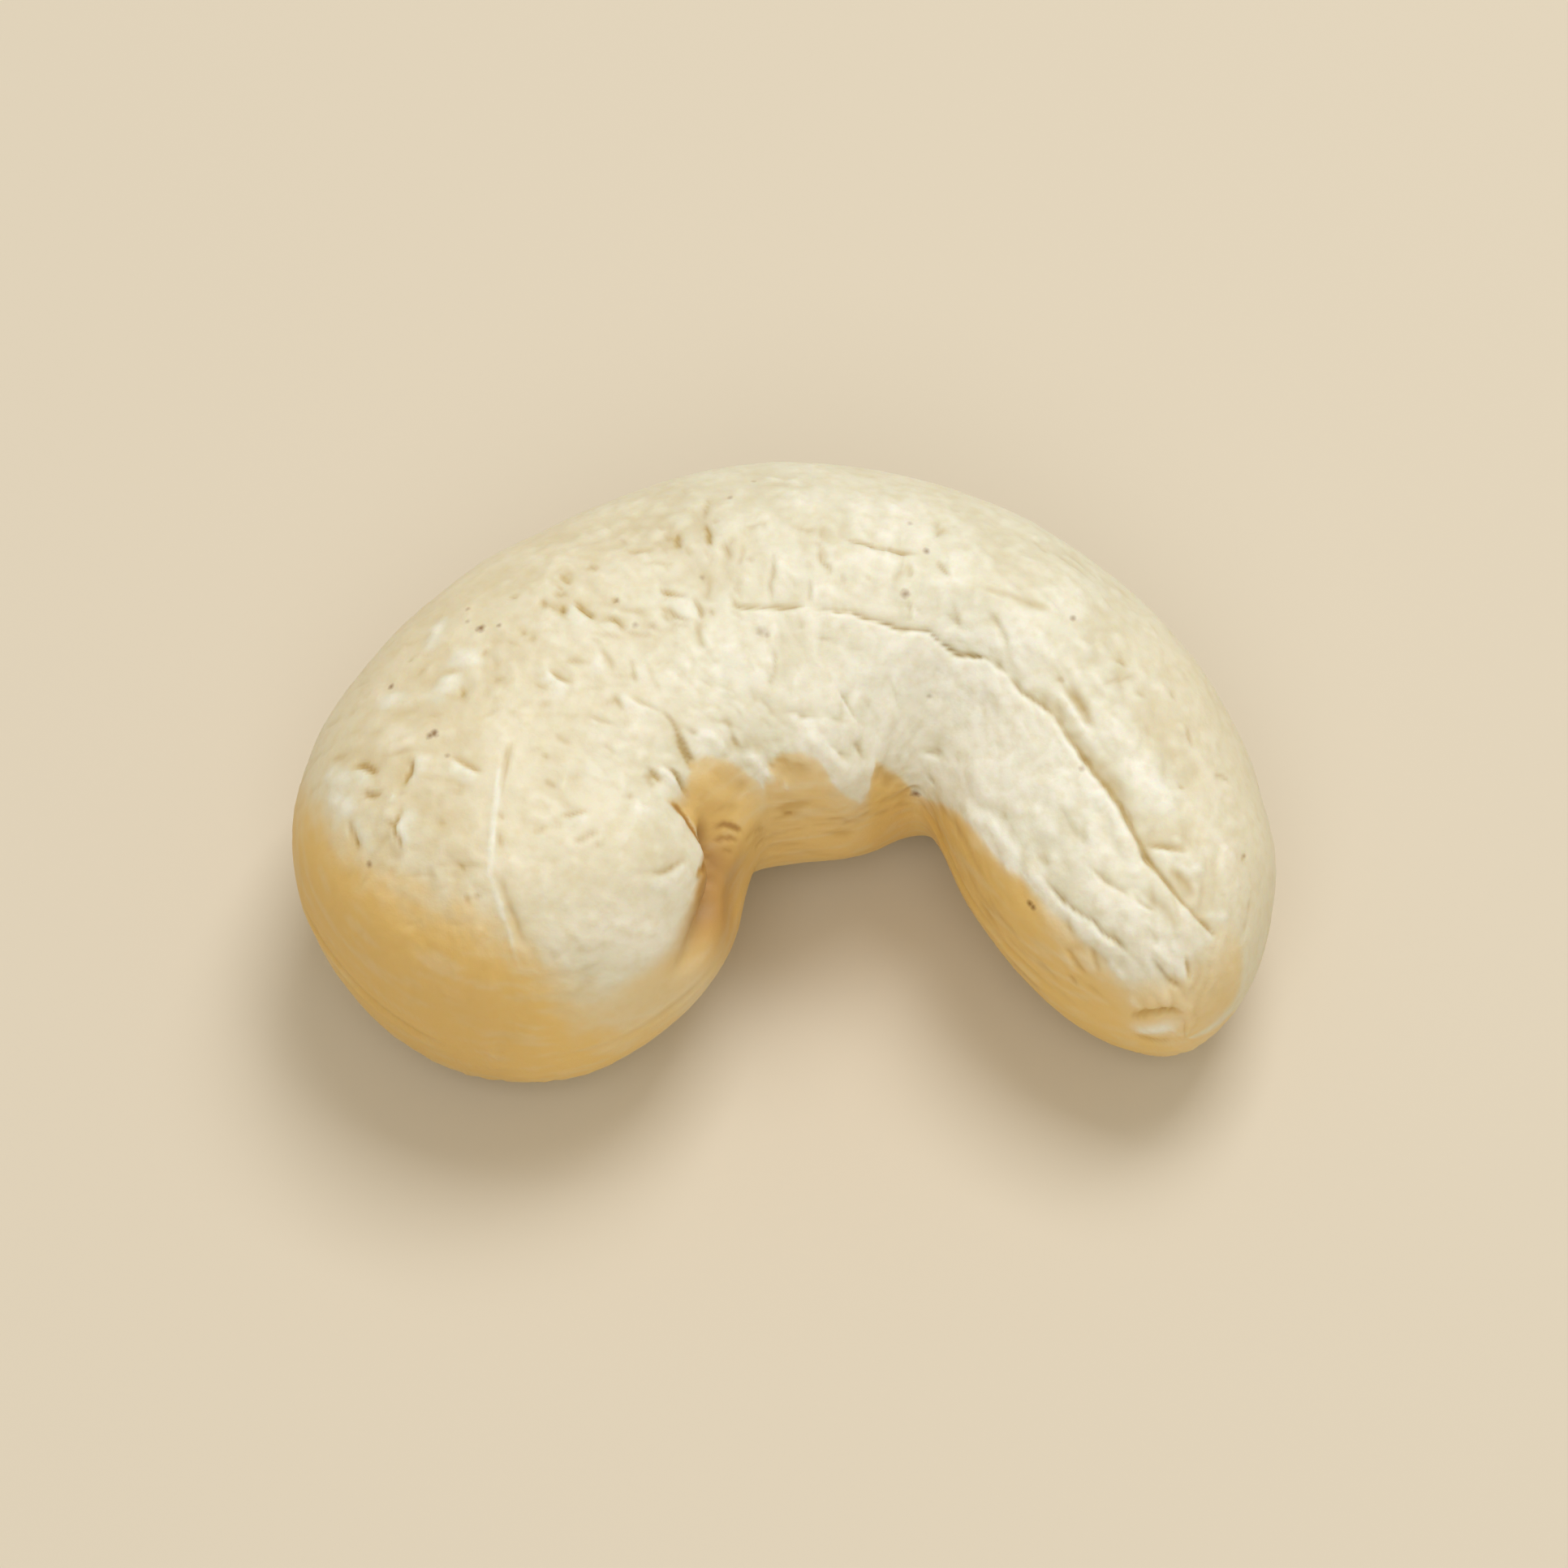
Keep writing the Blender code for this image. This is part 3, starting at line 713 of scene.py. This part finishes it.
# The skin between the creases is crumpled into small pillows, drawn out across the kernel by
# the arch and along it on the slim limb. A row is their height, where they are, the points
# that they are drawn on, their size and a seed.
inner_cheek = between(angle, 45, 75) * (1 - wall)
arch = between(station, 3.6, 4.4) * (1 - between(station, 7.2, 8.2)) * inner_cheek
limb = between(station, 7.4, 8.4) * inner_cheek
lobe = (1 - between(station, 3.2, 4.4)) * cheek
patchy = 0.3 + 0.7 * between(waves(base, 2.0, 20), -0.3, 0.2)
PILLOWED = [
    (0.06, arch, straight * [1, 0.6, 0.6], 0.8, 7),
    (0.09, limb, straight * [0.35, 1, 1], 0.65, 21),
    (0.04, lobe, straight, 1.1, 22),
]
lumps = 0.07 * waves(base, 1.6, 6)
for height, where, points, size, seed in PILLOWED:
    lumps += height * patchy * where * pillows(points, size, seed)

# Finer pillows, beads and unevenness, all of it weaker off the cheeks
lumps += 0.035 * cheek * pillows(base, 0.55, 23) * between(waves(base, 1.5, 24), -0.3, 0.3)
lumps += 0.03 * between(waves(base, 0.45, 8), 0.05, 0.5) + 0.02 * waves(base, 0.3, 9)
lumps *= 0.3 + 0.7 * cheek

# The seam is a fine groove between two soft lips, along the back and along the hollow. It
# wanders, it comes and goes, and it is lost at the tips and in the arch's hollow.
SEAM_DEPTH = 0.12
SEAM_WIDTH = 0.13
SEAM_WANDER = 0.08
LIP_HEIGHT = 0.45
LIP_PLACE = 2.4
LIP_WIDTH = 1.2
seam_height = settled((seam(station) + seam(-station))[:, :3] / 2)[:, 2]
off_seam = abs(base[:, 2] - seam_height + SEAM_WANDER * waves(base, 1.8, 10)) / SEAM_WIDTH
at_tips = 1 - between(share, 0.02, 0.06) * between(1 - share, 0.05, 0.2)
sideways = between(abs(np.cos(around)), 0.8, 0.95) * (1 - at_tips)
broken = 0.3 + 0.7 * between(waves(base, 3.0, 11), -0.3, 0.2)
broken *= 1 - 0.9 * wall * between(station, 1.2, 2.0) * (1 - between(station, 7.8, 8.8))
furrows = lines.copy()
groove = -np.exp(-(off_seam**2)) + LIP_HEIGHT * np.exp(-(((off_seam - LIP_PLACE) / LIP_WIDTH) ** 2))
lines += SEAM_DEPTH * groove * sideways * broken

finished = swollen + shape_to(swollen) * (lines + lumps)[:, None]
finished[:, 2] = np.maximum(finished[:, 2], 0)
shape_to(finished)

# What the colour follows: ridges and furrows, the sides painted with warm amber shade where
# the light doesn't reach, and the brown stains with brown painted shade in the undercut and
# by the nose. The edge of the amber shade is drawn on the sheet, first round the thick lobe,
# then along the hollow's rim to the slim limb's tip.
LOBE_EDGE = [
    (-14.2, -0.8), (-13.6, -1.5), (-13.2, -2.0), (-12.5, -2.7), (-11.8, -3.3), (-11.0, -3.8),
    (-10.2, -4.2), (-9.4, -4.4), (-8.7, -4.9), (-8.0, -5.2), (-7.3, -5.6), (-6.6, -6.6),
    (-6.0, -7.2), (-4.5, -7.6), (-3.4, -7.2), (-2.4, -7.0), (-1.4, -12.0),
]
NOSE_EDGE = [
    (-7.2, -6.0), (-6.4, -4.4), (-5.6, -3.3), (-4.6, -2.8), (-3.9, -2.55), (-3.4, -2.4),
    (-2.9, -2.35), (-2.4, -2.45), (-1.9, -2.8), (-1.5, -3.3), (-1.2, -3.7),
]
RIM_EDGE = [
    (-3.8, -1.15), (-3.4, -1.3), (-3.05, -1.2), (-2.85, -0.9), (-2.65, -0.2), (-2.4, 0.0),
    (-2.0, -0.05), (-1.5, -0.2), (-1.2, -0.4), (-0.8, -0.7), (-0.6, -0.9), (-0.45, -0.3),
    (0.0, 0.1), (0.5, 0.1), (0.85, 0.0), (1.1, -0.2), (1.4, -0.8), (1.8, -1.15), (2.2, -1.35),
    (2.4, -1.1), (2.5, -0.6), (2.6, -0.1), (2.9, -0.35), (3.2, -0.5), (3.5, -0.75), (3.7, -1.1),
    (4.0, -1.25), (4.5, -1.4), (5.0, -1.65), (5.5, -2.15), (5.9, -2.65), (6.2, -3.05),
    (6.5, -3.3), (6.9, -3.55), (7.2, -3.9), (7.5, -4.2), (8.0, -4.7), (8.5, -5.2), (9.0, -5.7),
    (9.5, -6.2), (10.0, -6.5), (11.0, -6.3), (12.0, -5.4), (13.0, -4.0), (14.0, -1.5),
]
# How softly the amber shade sets in below the rim and past the nose, in mm, by the place
# on the sheet, and the direction that the light comes from, which the pale lit sides face
RIM_SOFTNESS = [
    (-3.8, 0.2), (-2.6, 0.5), (-1.0, 0.7), (0.2, 1.4), (1.2, 1.0), (1.5, 0.8), (2.2, 0.6),
    (3.0, 0.3), (4.0, 0.15), (6.9, 0.15), (7.6, 0.45), (9.5, 0.45), (10.5, 0.8), (11.8, 1.9),
    (13.0, 3.0),
]
NOSE_SOFTNESS = [(-7, 8), (-5, 4), (-4, 1)]
LIT_SIDE = np.array([0.40, 0.35, 0.85])
ragged = 0.25 * waves(base, 0.9, 30) + 0.3 * waves(base, 0.35, 31)
turned_away = 1 - between(base_normals @ toward_eye, -0.2, 0.2)

# How far a point is below the lobe's edge and below the rim, in mm, and whether it is past the
# nose, from 0 to 1, for which it is on the hollow's side or on the slim limb's tip
below_lobe = np.interp(sheet_x, *np.transpose(LOBE_EDGE)) - sheet_y + ragged
below_rim = np.interp(sheet_x, *np.transpose(RIM_EDGE)) - sheet_y + 0.2 * ragged
past_nose = sheet_x - np.interp(sheet_y, *np.transpose(NOSE_EDGE))
past_nose = between(past_nose / np.interp(sheet_y, *np.transpose(NOSE_SOFTNESS)), -0.05, 0.15)
past_nose *= between(abs(angle) - np.interp(station, [10.2, 11.4], [95, 0]), 0, 20)

# The amber painted shade in the hollow and along the limb deepens softly below the rim,
# with a crisp start in the arch, and it pales at the bottom of the hollow
CRISP_SHARE = 0.45
softness = np.interp(sheet_x, *np.transpose(RIM_SOFTNESS))
crisp = CRISP_SHARE * between(sheet_x, -3.0, -2.4) * (1 - between(sheet_x, 3.0, 5.0))
soft_start = 1 - np.exp(-np.maximum(below_rim, 0) / softness)
amber_shade = soft_start * (1 - crisp) + crisp * between(below_rim, 0, 0.2)
amber_shade *= past_nose * (1 - 0.5 * between(-sheet_y, 4.8, 7) * (1 - between(sheet_x, -2, 0)))

# Next painted shade on the lobe's side, on the sides that face away from the light and
# can't be seen, and a faint painted shade at either end
amber_shade = np.maximum(amber_shade, between(below_lobe, -1.4, 1.5) * (1 - 0.45 * turned_away))
amber_shade = np.maximum(amber_shade, 0.7 * between(0.35 - base_normals @ LIT_SIDE, 0, 0.6) * turned_away)
left_end = between(-base[:, 0] + 2 * ragged, 0, 12)
right_end = between(base[:, 0] + 2 * ragged, 9, 12) * (1 - between(angle, 70, 100))
amber_shade = np.maximum(amber_shade, 0.15 * left_end)
amber_shade = np.maximum(amber_shade, 0.07 * right_end)

# The painted shade pales on the underside, in level streaks and on ridges, which are
# painted as catching the light, and deepens where there are stains and painted shade
RIDGE_PAINTED_LIGHT = 7
AMBER_SHADE_CURVE = 0.85
amber_shade *= 1 - 0.7 * between(-base_normals[:, 2], 0.3, 0.9)
amber_shade *= 1 - 0.2 * between(waves(base * [0.4, 0.4, 1.6], 0.45, 33), 0.0, 0.5)
amber_shade = np.maximum(amber_shade - RIDGE_PAINTED_LIGHT * np.maximum(furrows, 0), 0) ** AMBER_SHADE_CURVE
amber_shade = amber_shade + between(stain_and_shade, 0.2, 0.6)

# Brown painted shade: the nose's shadow on the wall beside it, shade low on the lobe, and
# darker furrows in the amber shade
shadow_by_nose = past_nose * between(-sheet_x, 0.6, 2.0) * between(-sheet_y, 1.8, 3.2)
shadow_by_nose = shadow_by_nose * (1 - 0.6 * turned_away)
shade_low_on_lobe = between(below_lobe, 0.3, 3.0) * between(-sheet_x, 6.0, 9.0)
stain_and_shade = np.maximum(stain_and_shade, 0.6 * shadow_by_nose * between(sheet_y, -6.5, -4.5))
stain_and_shade = np.maximum(stain_and_shade, 0.14 * shade_low_on_lobe)
stain_and_shade = np.maximum(stain_and_shade, 0.2 * between(-furrows, 0.0, 0.05) * between(amber_shade, 0.3, 0.9))


def soft_spot(x, y, width, height):
    """A spot on the sheet, 1 in its middle and falling softly to 0."""
    return np.exp(-(((sheet_x - x) / width) ** 2) - ((sheet_y - y) / height) ** 2)


# Ivory follows the relief, with painted shade in yellow furrows and painted highlights on
# pale ridges, with chalk on the lobe, paler tone and painted light in a few places, and
# painted shade on the duller top at the left
RELIEF_SPAN = 0.25
chalk = between(waves(base, 1.0, 27), -0.05, 0.5) * lobe * between(-base[:, 0], 8.0, 9.5)
tone_and_painted_light = 0.025 * between(angle, 70, 100) * between(station, 1.5, 2.5)
# Two soft spots painted lighter where the light falls brighter, and the upturned left top painted
# duller as shade
tone_and_painted_light += 0.06 * soft_spot(5.0, 1.0, 2.2, 2.3)
tone_and_painted_light += 0.06 * soft_spot(-4.8, -5.0, 1.9, 1.2)
tone_and_painted_light -= 0.02 * between(-base[:, 0], -2.0, 4.0) * between(base_normals[:, 2], 0.5, 0.9)
relief_shading_and_tone = 1.4 * furrows + 0.5 * (lines - furrows) + 0.6 * lumps + 0.035 * chalk + tone_and_painted_light
relief_shading_and_tone = 0.5 + relief_shading_and_tone / RELIEF_SPAN
for name, values in (("relief_shading_and_tone", relief_shading_and_tone), ("amber_shade", amber_shade), ("stain_and_shade", stain_and_shade)):
    channel = kernel_data.attributes.new(name, "FLOAT", "POINT")
    channel.data.foreach_set("value", np.clip(values, 0, 1).astype(np.float32))

kernel = bpy.data.objects.new("kernel", kernel_data)
bpy.context.scene.collection.objects.link(kernel)
kernel_data.shade_smooth()


def linear(hex_colour):
    """Turn an sRGB hex colour to linear RGBA."""
    parts = [int(hex_colour[i:i + 2], 16) / 255 for i in (0, 2, 4)]
    return [c / 12.92 if c <= 0.04045 else ((c + 0.055) / 1.055) ** 2.4 for c in parts] + [1.0]


def add_node(tree, kind, settings=None, inputs=None):
    """Add a node. An input that is another node's socket is linked, and any other is set."""
    node = tree.nodes.new(kind)
    for name, value in (settings or {}).items():
        setattr(node, name, value)
    for name, value in (inputs or {}).items():
        if isinstance(value, bpy.types.NodeSocket):
            tree.links.new(value, node.inputs[name])
        else:
            node.inputs[name].default_value = value
    return node


# Dark specks left by the skin: where they are on the sheet, their radius and darkness
SPECKS = [
    ((-10.13, 0.43), 0.12, 0.9), ((-10.05, 0.55), 0.13, 0.9), ((7.05, -4.37), 0.10, 1.0),
    ((7.15, -4.45), 0.09, 0.9), ((3.78, -1.18), 0.14, 1.0), ((4.07, 5.77), 0.10, 0.8),
    ((3.45, 4.6), 0.13, 0.7), ((-8.68, 3.55), 0.14, 1.0), ((-8.2, 3.6), 0.08, 0.6),
    ((-9.05, 4.05), 0.08, 0.5), ((-9.1, 3.75), 0.07, 0.4), ((-11.25, 1.92), 0.10, 0.8),
    ((-11.9, -3.2), 0.10, 0.7), ((8.28, 3.87), 0.09, 0.6), ((8.55, -0.5), 0.10, 0.5),
    ((13.85, -0.9), 0.12, 0.8), ((3.6, 6.55), 0.08, 0.4), ((-1.5, 7.35), 0.09, 0.5),
    ((-0.85, 7.85), 0.08, 0.3), ((-4.25, 3.65), 0.10, 0.5), ((-4.82, 4.37), 0.08, 0.4),
    ((-6.32, 4.1), 0.08, 0.3), ((-0.65, 3.45), 0.14, 0.4), ((-0.5, 3.35), 0.10, 0.4),
    ((-9.65, -0.1), 0.08, 0.5), ((4.2, 1.65), 0.08, 0.3), ((-2.37, 5.05), 0.08, 0.4),
    ((13.2, -3.0), 0.07, 0.4),
]

# Where a speck starts to fade and where it ends, in radii, and how much of the colour below
# the specks and the painted amber shade cover at most
SPECK_CORE = 0.6
SPECK_END = 1.9
SPECK_COVER = 0.85
AMBER_SHADE_COVER = 0.88
SPECK_RAGGEDNESS = 0.15

# Yellower patches and fine mottles: their size in mm, the noise at which they start and at
# which they are full, how much they cover then, and their colour
MOTTLES = [
    (3.0, 0.40, 0.65, 0.25, "e6dcc0"),
    (0.35, 0.45, 0.70, 0.30, "dacda2"),
]

# The grain of the flesh is finer than this in mm, and is drawn as coarse as it needs to show
GRAIN_SIZE = 0.22
GRAIN_DEPTH = 0.05

FURROW_SHADE_COLOUR = "bea468"
FLESH_COLOUR = "e8e5d0"
RIDGE_HIGHLIGHT_COLOUR = "f7f5e8"
AMBER_SHADE_COLOUR = "ecc46a"
STAIN_AND_SHADE_COLOUR = "955c22"
SPECK_COLOUR = "7e4c06"


def blanched_flesh():
    """Flesh of a blanched kernel: dry and matt with a faint oily sheen, and light that goes a
    little way in. It is ivory with painted highlights on paler ridges and painted shade in
    yellower furrows, and over that lie the mottles, the painted amber shade, the stains with
    brown painted shade, and the specks."""
    material = bpy.data.materials.new("blanched_flesh")
    material.use_nodes = True
    tree = material.node_tree
    flesh = tree.nodes["Principled BSDF"]
    place = add_node(tree, "ShaderNodeTexCoord").outputs["Object"]
    relief_shading_and_tone_value, amber_shade_value, stain_and_shade_value = (
        add_node(tree, "ShaderNodeAttribute", {"attribute_name": name}).outputs["Fac"]
        for name in ("relief_shading_and_tone", "amber_shade", "stain_and_shade")
    )
    # The ramp paints shade into the furrows and highlights onto the ridges
    ramp = add_node(tree, "ShaderNodeValToRGB", inputs={"Fac": relief_shading_and_tone_value})
    ramp.color_ramp.elements[0].position = 0.0
    ramp.color_ramp.elements[0].color = linear(FURROW_SHADE_COLOUR)
    ramp.color_ramp.elements[1].position = 0.75
    ramp.color_ramp.elements[1].color = linear(RIDGE_HIGHLIGHT_COLOUR)
    ramp.color_ramp.elements.new(0.5).color = linear(FLESH_COLOUR)

    layers = []
    for size, begins, full, most, tint in MOTTLES:
        cloud = add_node(tree, "ShaderNodeTexNoise", inputs={
            "Vector": place, "Scale": 1 / (size * MM), "Detail": 3.0})
        cover = add_node(tree, "ShaderNodeMapRange", inputs={
            "Value": cloud.outputs["Fac"], "From Min": begins, "From Max": full, "To Max": most})
        layers.append((cover.outputs["Result"], tint))
    # The amber is painted shade on the sides that turn away from the light
    deep = add_node(tree, "ShaderNodeMath", {"operation": "MULTIPLY"}, {
        0: amber_shade_value, 1: AMBER_SHADE_COVER})
    layers.append((deep.outputs["Value"], AMBER_SHADE_COLOUR))
    # Stains from the skin, with brown painted shade in the undercut and beside the nose
    layers.append((stain_and_shade_value, STAIN_AND_SHADE_COLOUR))

    uneven = add_node(tree, "ShaderNodeTexNoise", inputs={
        "Vector": place, "Scale": 1 / (SPECK_RAGGEDNESS * MM)})
    speckled = 0.0
    for spot, radius, dark in SPECKS:
        centre = finished[seen_at(spot)] * MM
        distance = add_node(tree, "ShaderNodeVectorMath", {"operation": "DISTANCE"}, {
            0: place, 1: centre})
        jagged = add_node(tree, "ShaderNodeMath", {"operation": "MULTIPLY_ADD"}, {
            0: uneven.outputs["Fac"], 1: radius * MM, 2: distance.outputs["Value"]})
        speck = add_node(tree, "ShaderNodeMapRange", inputs={
            "Value": jagged.outputs["Value"], "From Min": SPECK_CORE * radius * MM,
            "From Max": SPECK_END * radius * MM, "To Min": SPECK_COVER * dark, "To Max": 0.0})
        speckled = add_node(tree, "ShaderNodeMath", {"operation": "MAXIMUM"}, {
            0: speckled, 1: speck.outputs["Result"]}).outputs["Value"]
    layers.append((speckled, SPECK_COLOUR))

    colour = ramp.outputs["Color"]
    for cover, tint in layers:
        colour = add_node(tree, "ShaderNodeMix", {"data_type": "RGBA"}, {
            "Factor": cover, "A": colour, "B": linear(tint)}).outputs["Result"]
    tree.links.new(colour, flesh.inputs["Base Color"])

    grain = add_node(tree, "ShaderNodeTexNoise", inputs={
        "Vector": place, "Scale": 1 / (GRAIN_SIZE * MM), "Detail": 4.0, "Roughness": 0.6})
    bump = add_node(tree, "ShaderNodeBump", inputs={
        "Strength": 0.35, "Distance": GRAIN_DEPTH * MM, "Height": grain.outputs["Fac"]})
    tree.links.new(bump.outputs["Normal"], flesh.inputs["Normal"])
    flesh.inputs["Roughness"].default_value = 0.52
    flesh.inputs["IOR"].default_value = 1.46
    flesh.inputs["Subsurface Weight"].default_value = 0.3
    flesh.inputs["Subsurface Radius"].default_value = (1.0, 0.55, 0.18)
    flesh.inputs["Subsurface Scale"].default_value = 0.7 * MM
    return material


kernel_data.materials.append(blanched_flesh())
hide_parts("cashew_nut")
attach(kernel, "root")

# The floor: a plain pale sheet of matt card without any gloss, wide enough to fill the view
# from any side. It isn't part of the object.

FLOOR_REACH = 1.5
floor_mesh = bmesh.new()
bmesh.ops.create_grid(floor_mesh, x_segments=1, y_segments=1, size=FLOOR_REACH)
floor_data = bpy.data.meshes.new("floor")
floor_mesh.to_mesh(floor_data)
floor_mesh.free()
floor = bpy.data.objects.new("floor", floor_data)
bpy.context.scene.collection.objects.link(floor)
pale_sheet = bpy.data.materials.new("pale_sheet")
pale_sheet.use_nodes = True
card = pale_sheet.node_tree.nodes["Principled BSDF"]
card.inputs["Base Color"].default_value = linear("ddd3c0")
card.inputs["Roughness"].default_value = 0.8
floor_data.materials.append(pale_sheet)

# The light: a strong soft lamp high up behind the kernel on the right, a weaker one in
# front, and a warm dim surround.

LIT_PLACE = Vector((0, 0, 0.005))
LAMP_COLOUR = "fbfcff"


def soft_light(name, place, width, power):
    """A square lamp that faces the kernel."""
    light = bpy.data.lights.new(name, "AREA")
    light.size = width
    light.energy = power
    light.color = linear(LAMP_COLOUR)[:3]
    holder = bpy.data.objects.new(name, light)
    holder.location = place
    holder.rotation_euler = (LIT_PLACE - Vector(place)).to_track_quat("-Z", "Y").to_euler()
    bpy.context.scene.collection.objects.link(holder)


soft_light("key", (0.08, 0.16, 0.375), 0.20, 0.89)
soft_light("fill", (-0.02, -0.22, 0.32), 0.26, 0.37)

surround = bpy.data.worlds.new("surround")
surround.use_nodes = True
glow = surround.node_tree.nodes["Background"]
glow.inputs["Color"].default_value = linear("f6ead0")
glow.inputs["Strength"].default_value = 0.48
bpy.context.scene.world = surround
bpy.context.scene.view_settings.view_transform = "Standard"

# The camera: it looks down on the upper cheek at 60 degrees, from the hollow's side, with a
# long lens.

CAMERA_RISE = math.radians(60)
CAMERA_DISTANCE = 0.2
AIM = Vector((0, -0.0006, 0.005))
camera = bpy.data.objects.new("camera", bpy.data.cameras.new("camera"))
camera.data.lens = 160
camera.data.sensor_width = 36
toward_camera = Vector((0, -math.cos(CAMERA_RISE), math.sin(CAMERA_RISE)))
camera.location = AIM + toward_camera * CAMERA_DISTANCE
camera.rotation_euler = (-toward_camera).to_track_quat("-Z", "Y").to_euler()
camera.data.clip_start = 0.01
bpy.context.scene.collection.objects.link(camera)
bpy.context.scene.camera = camera
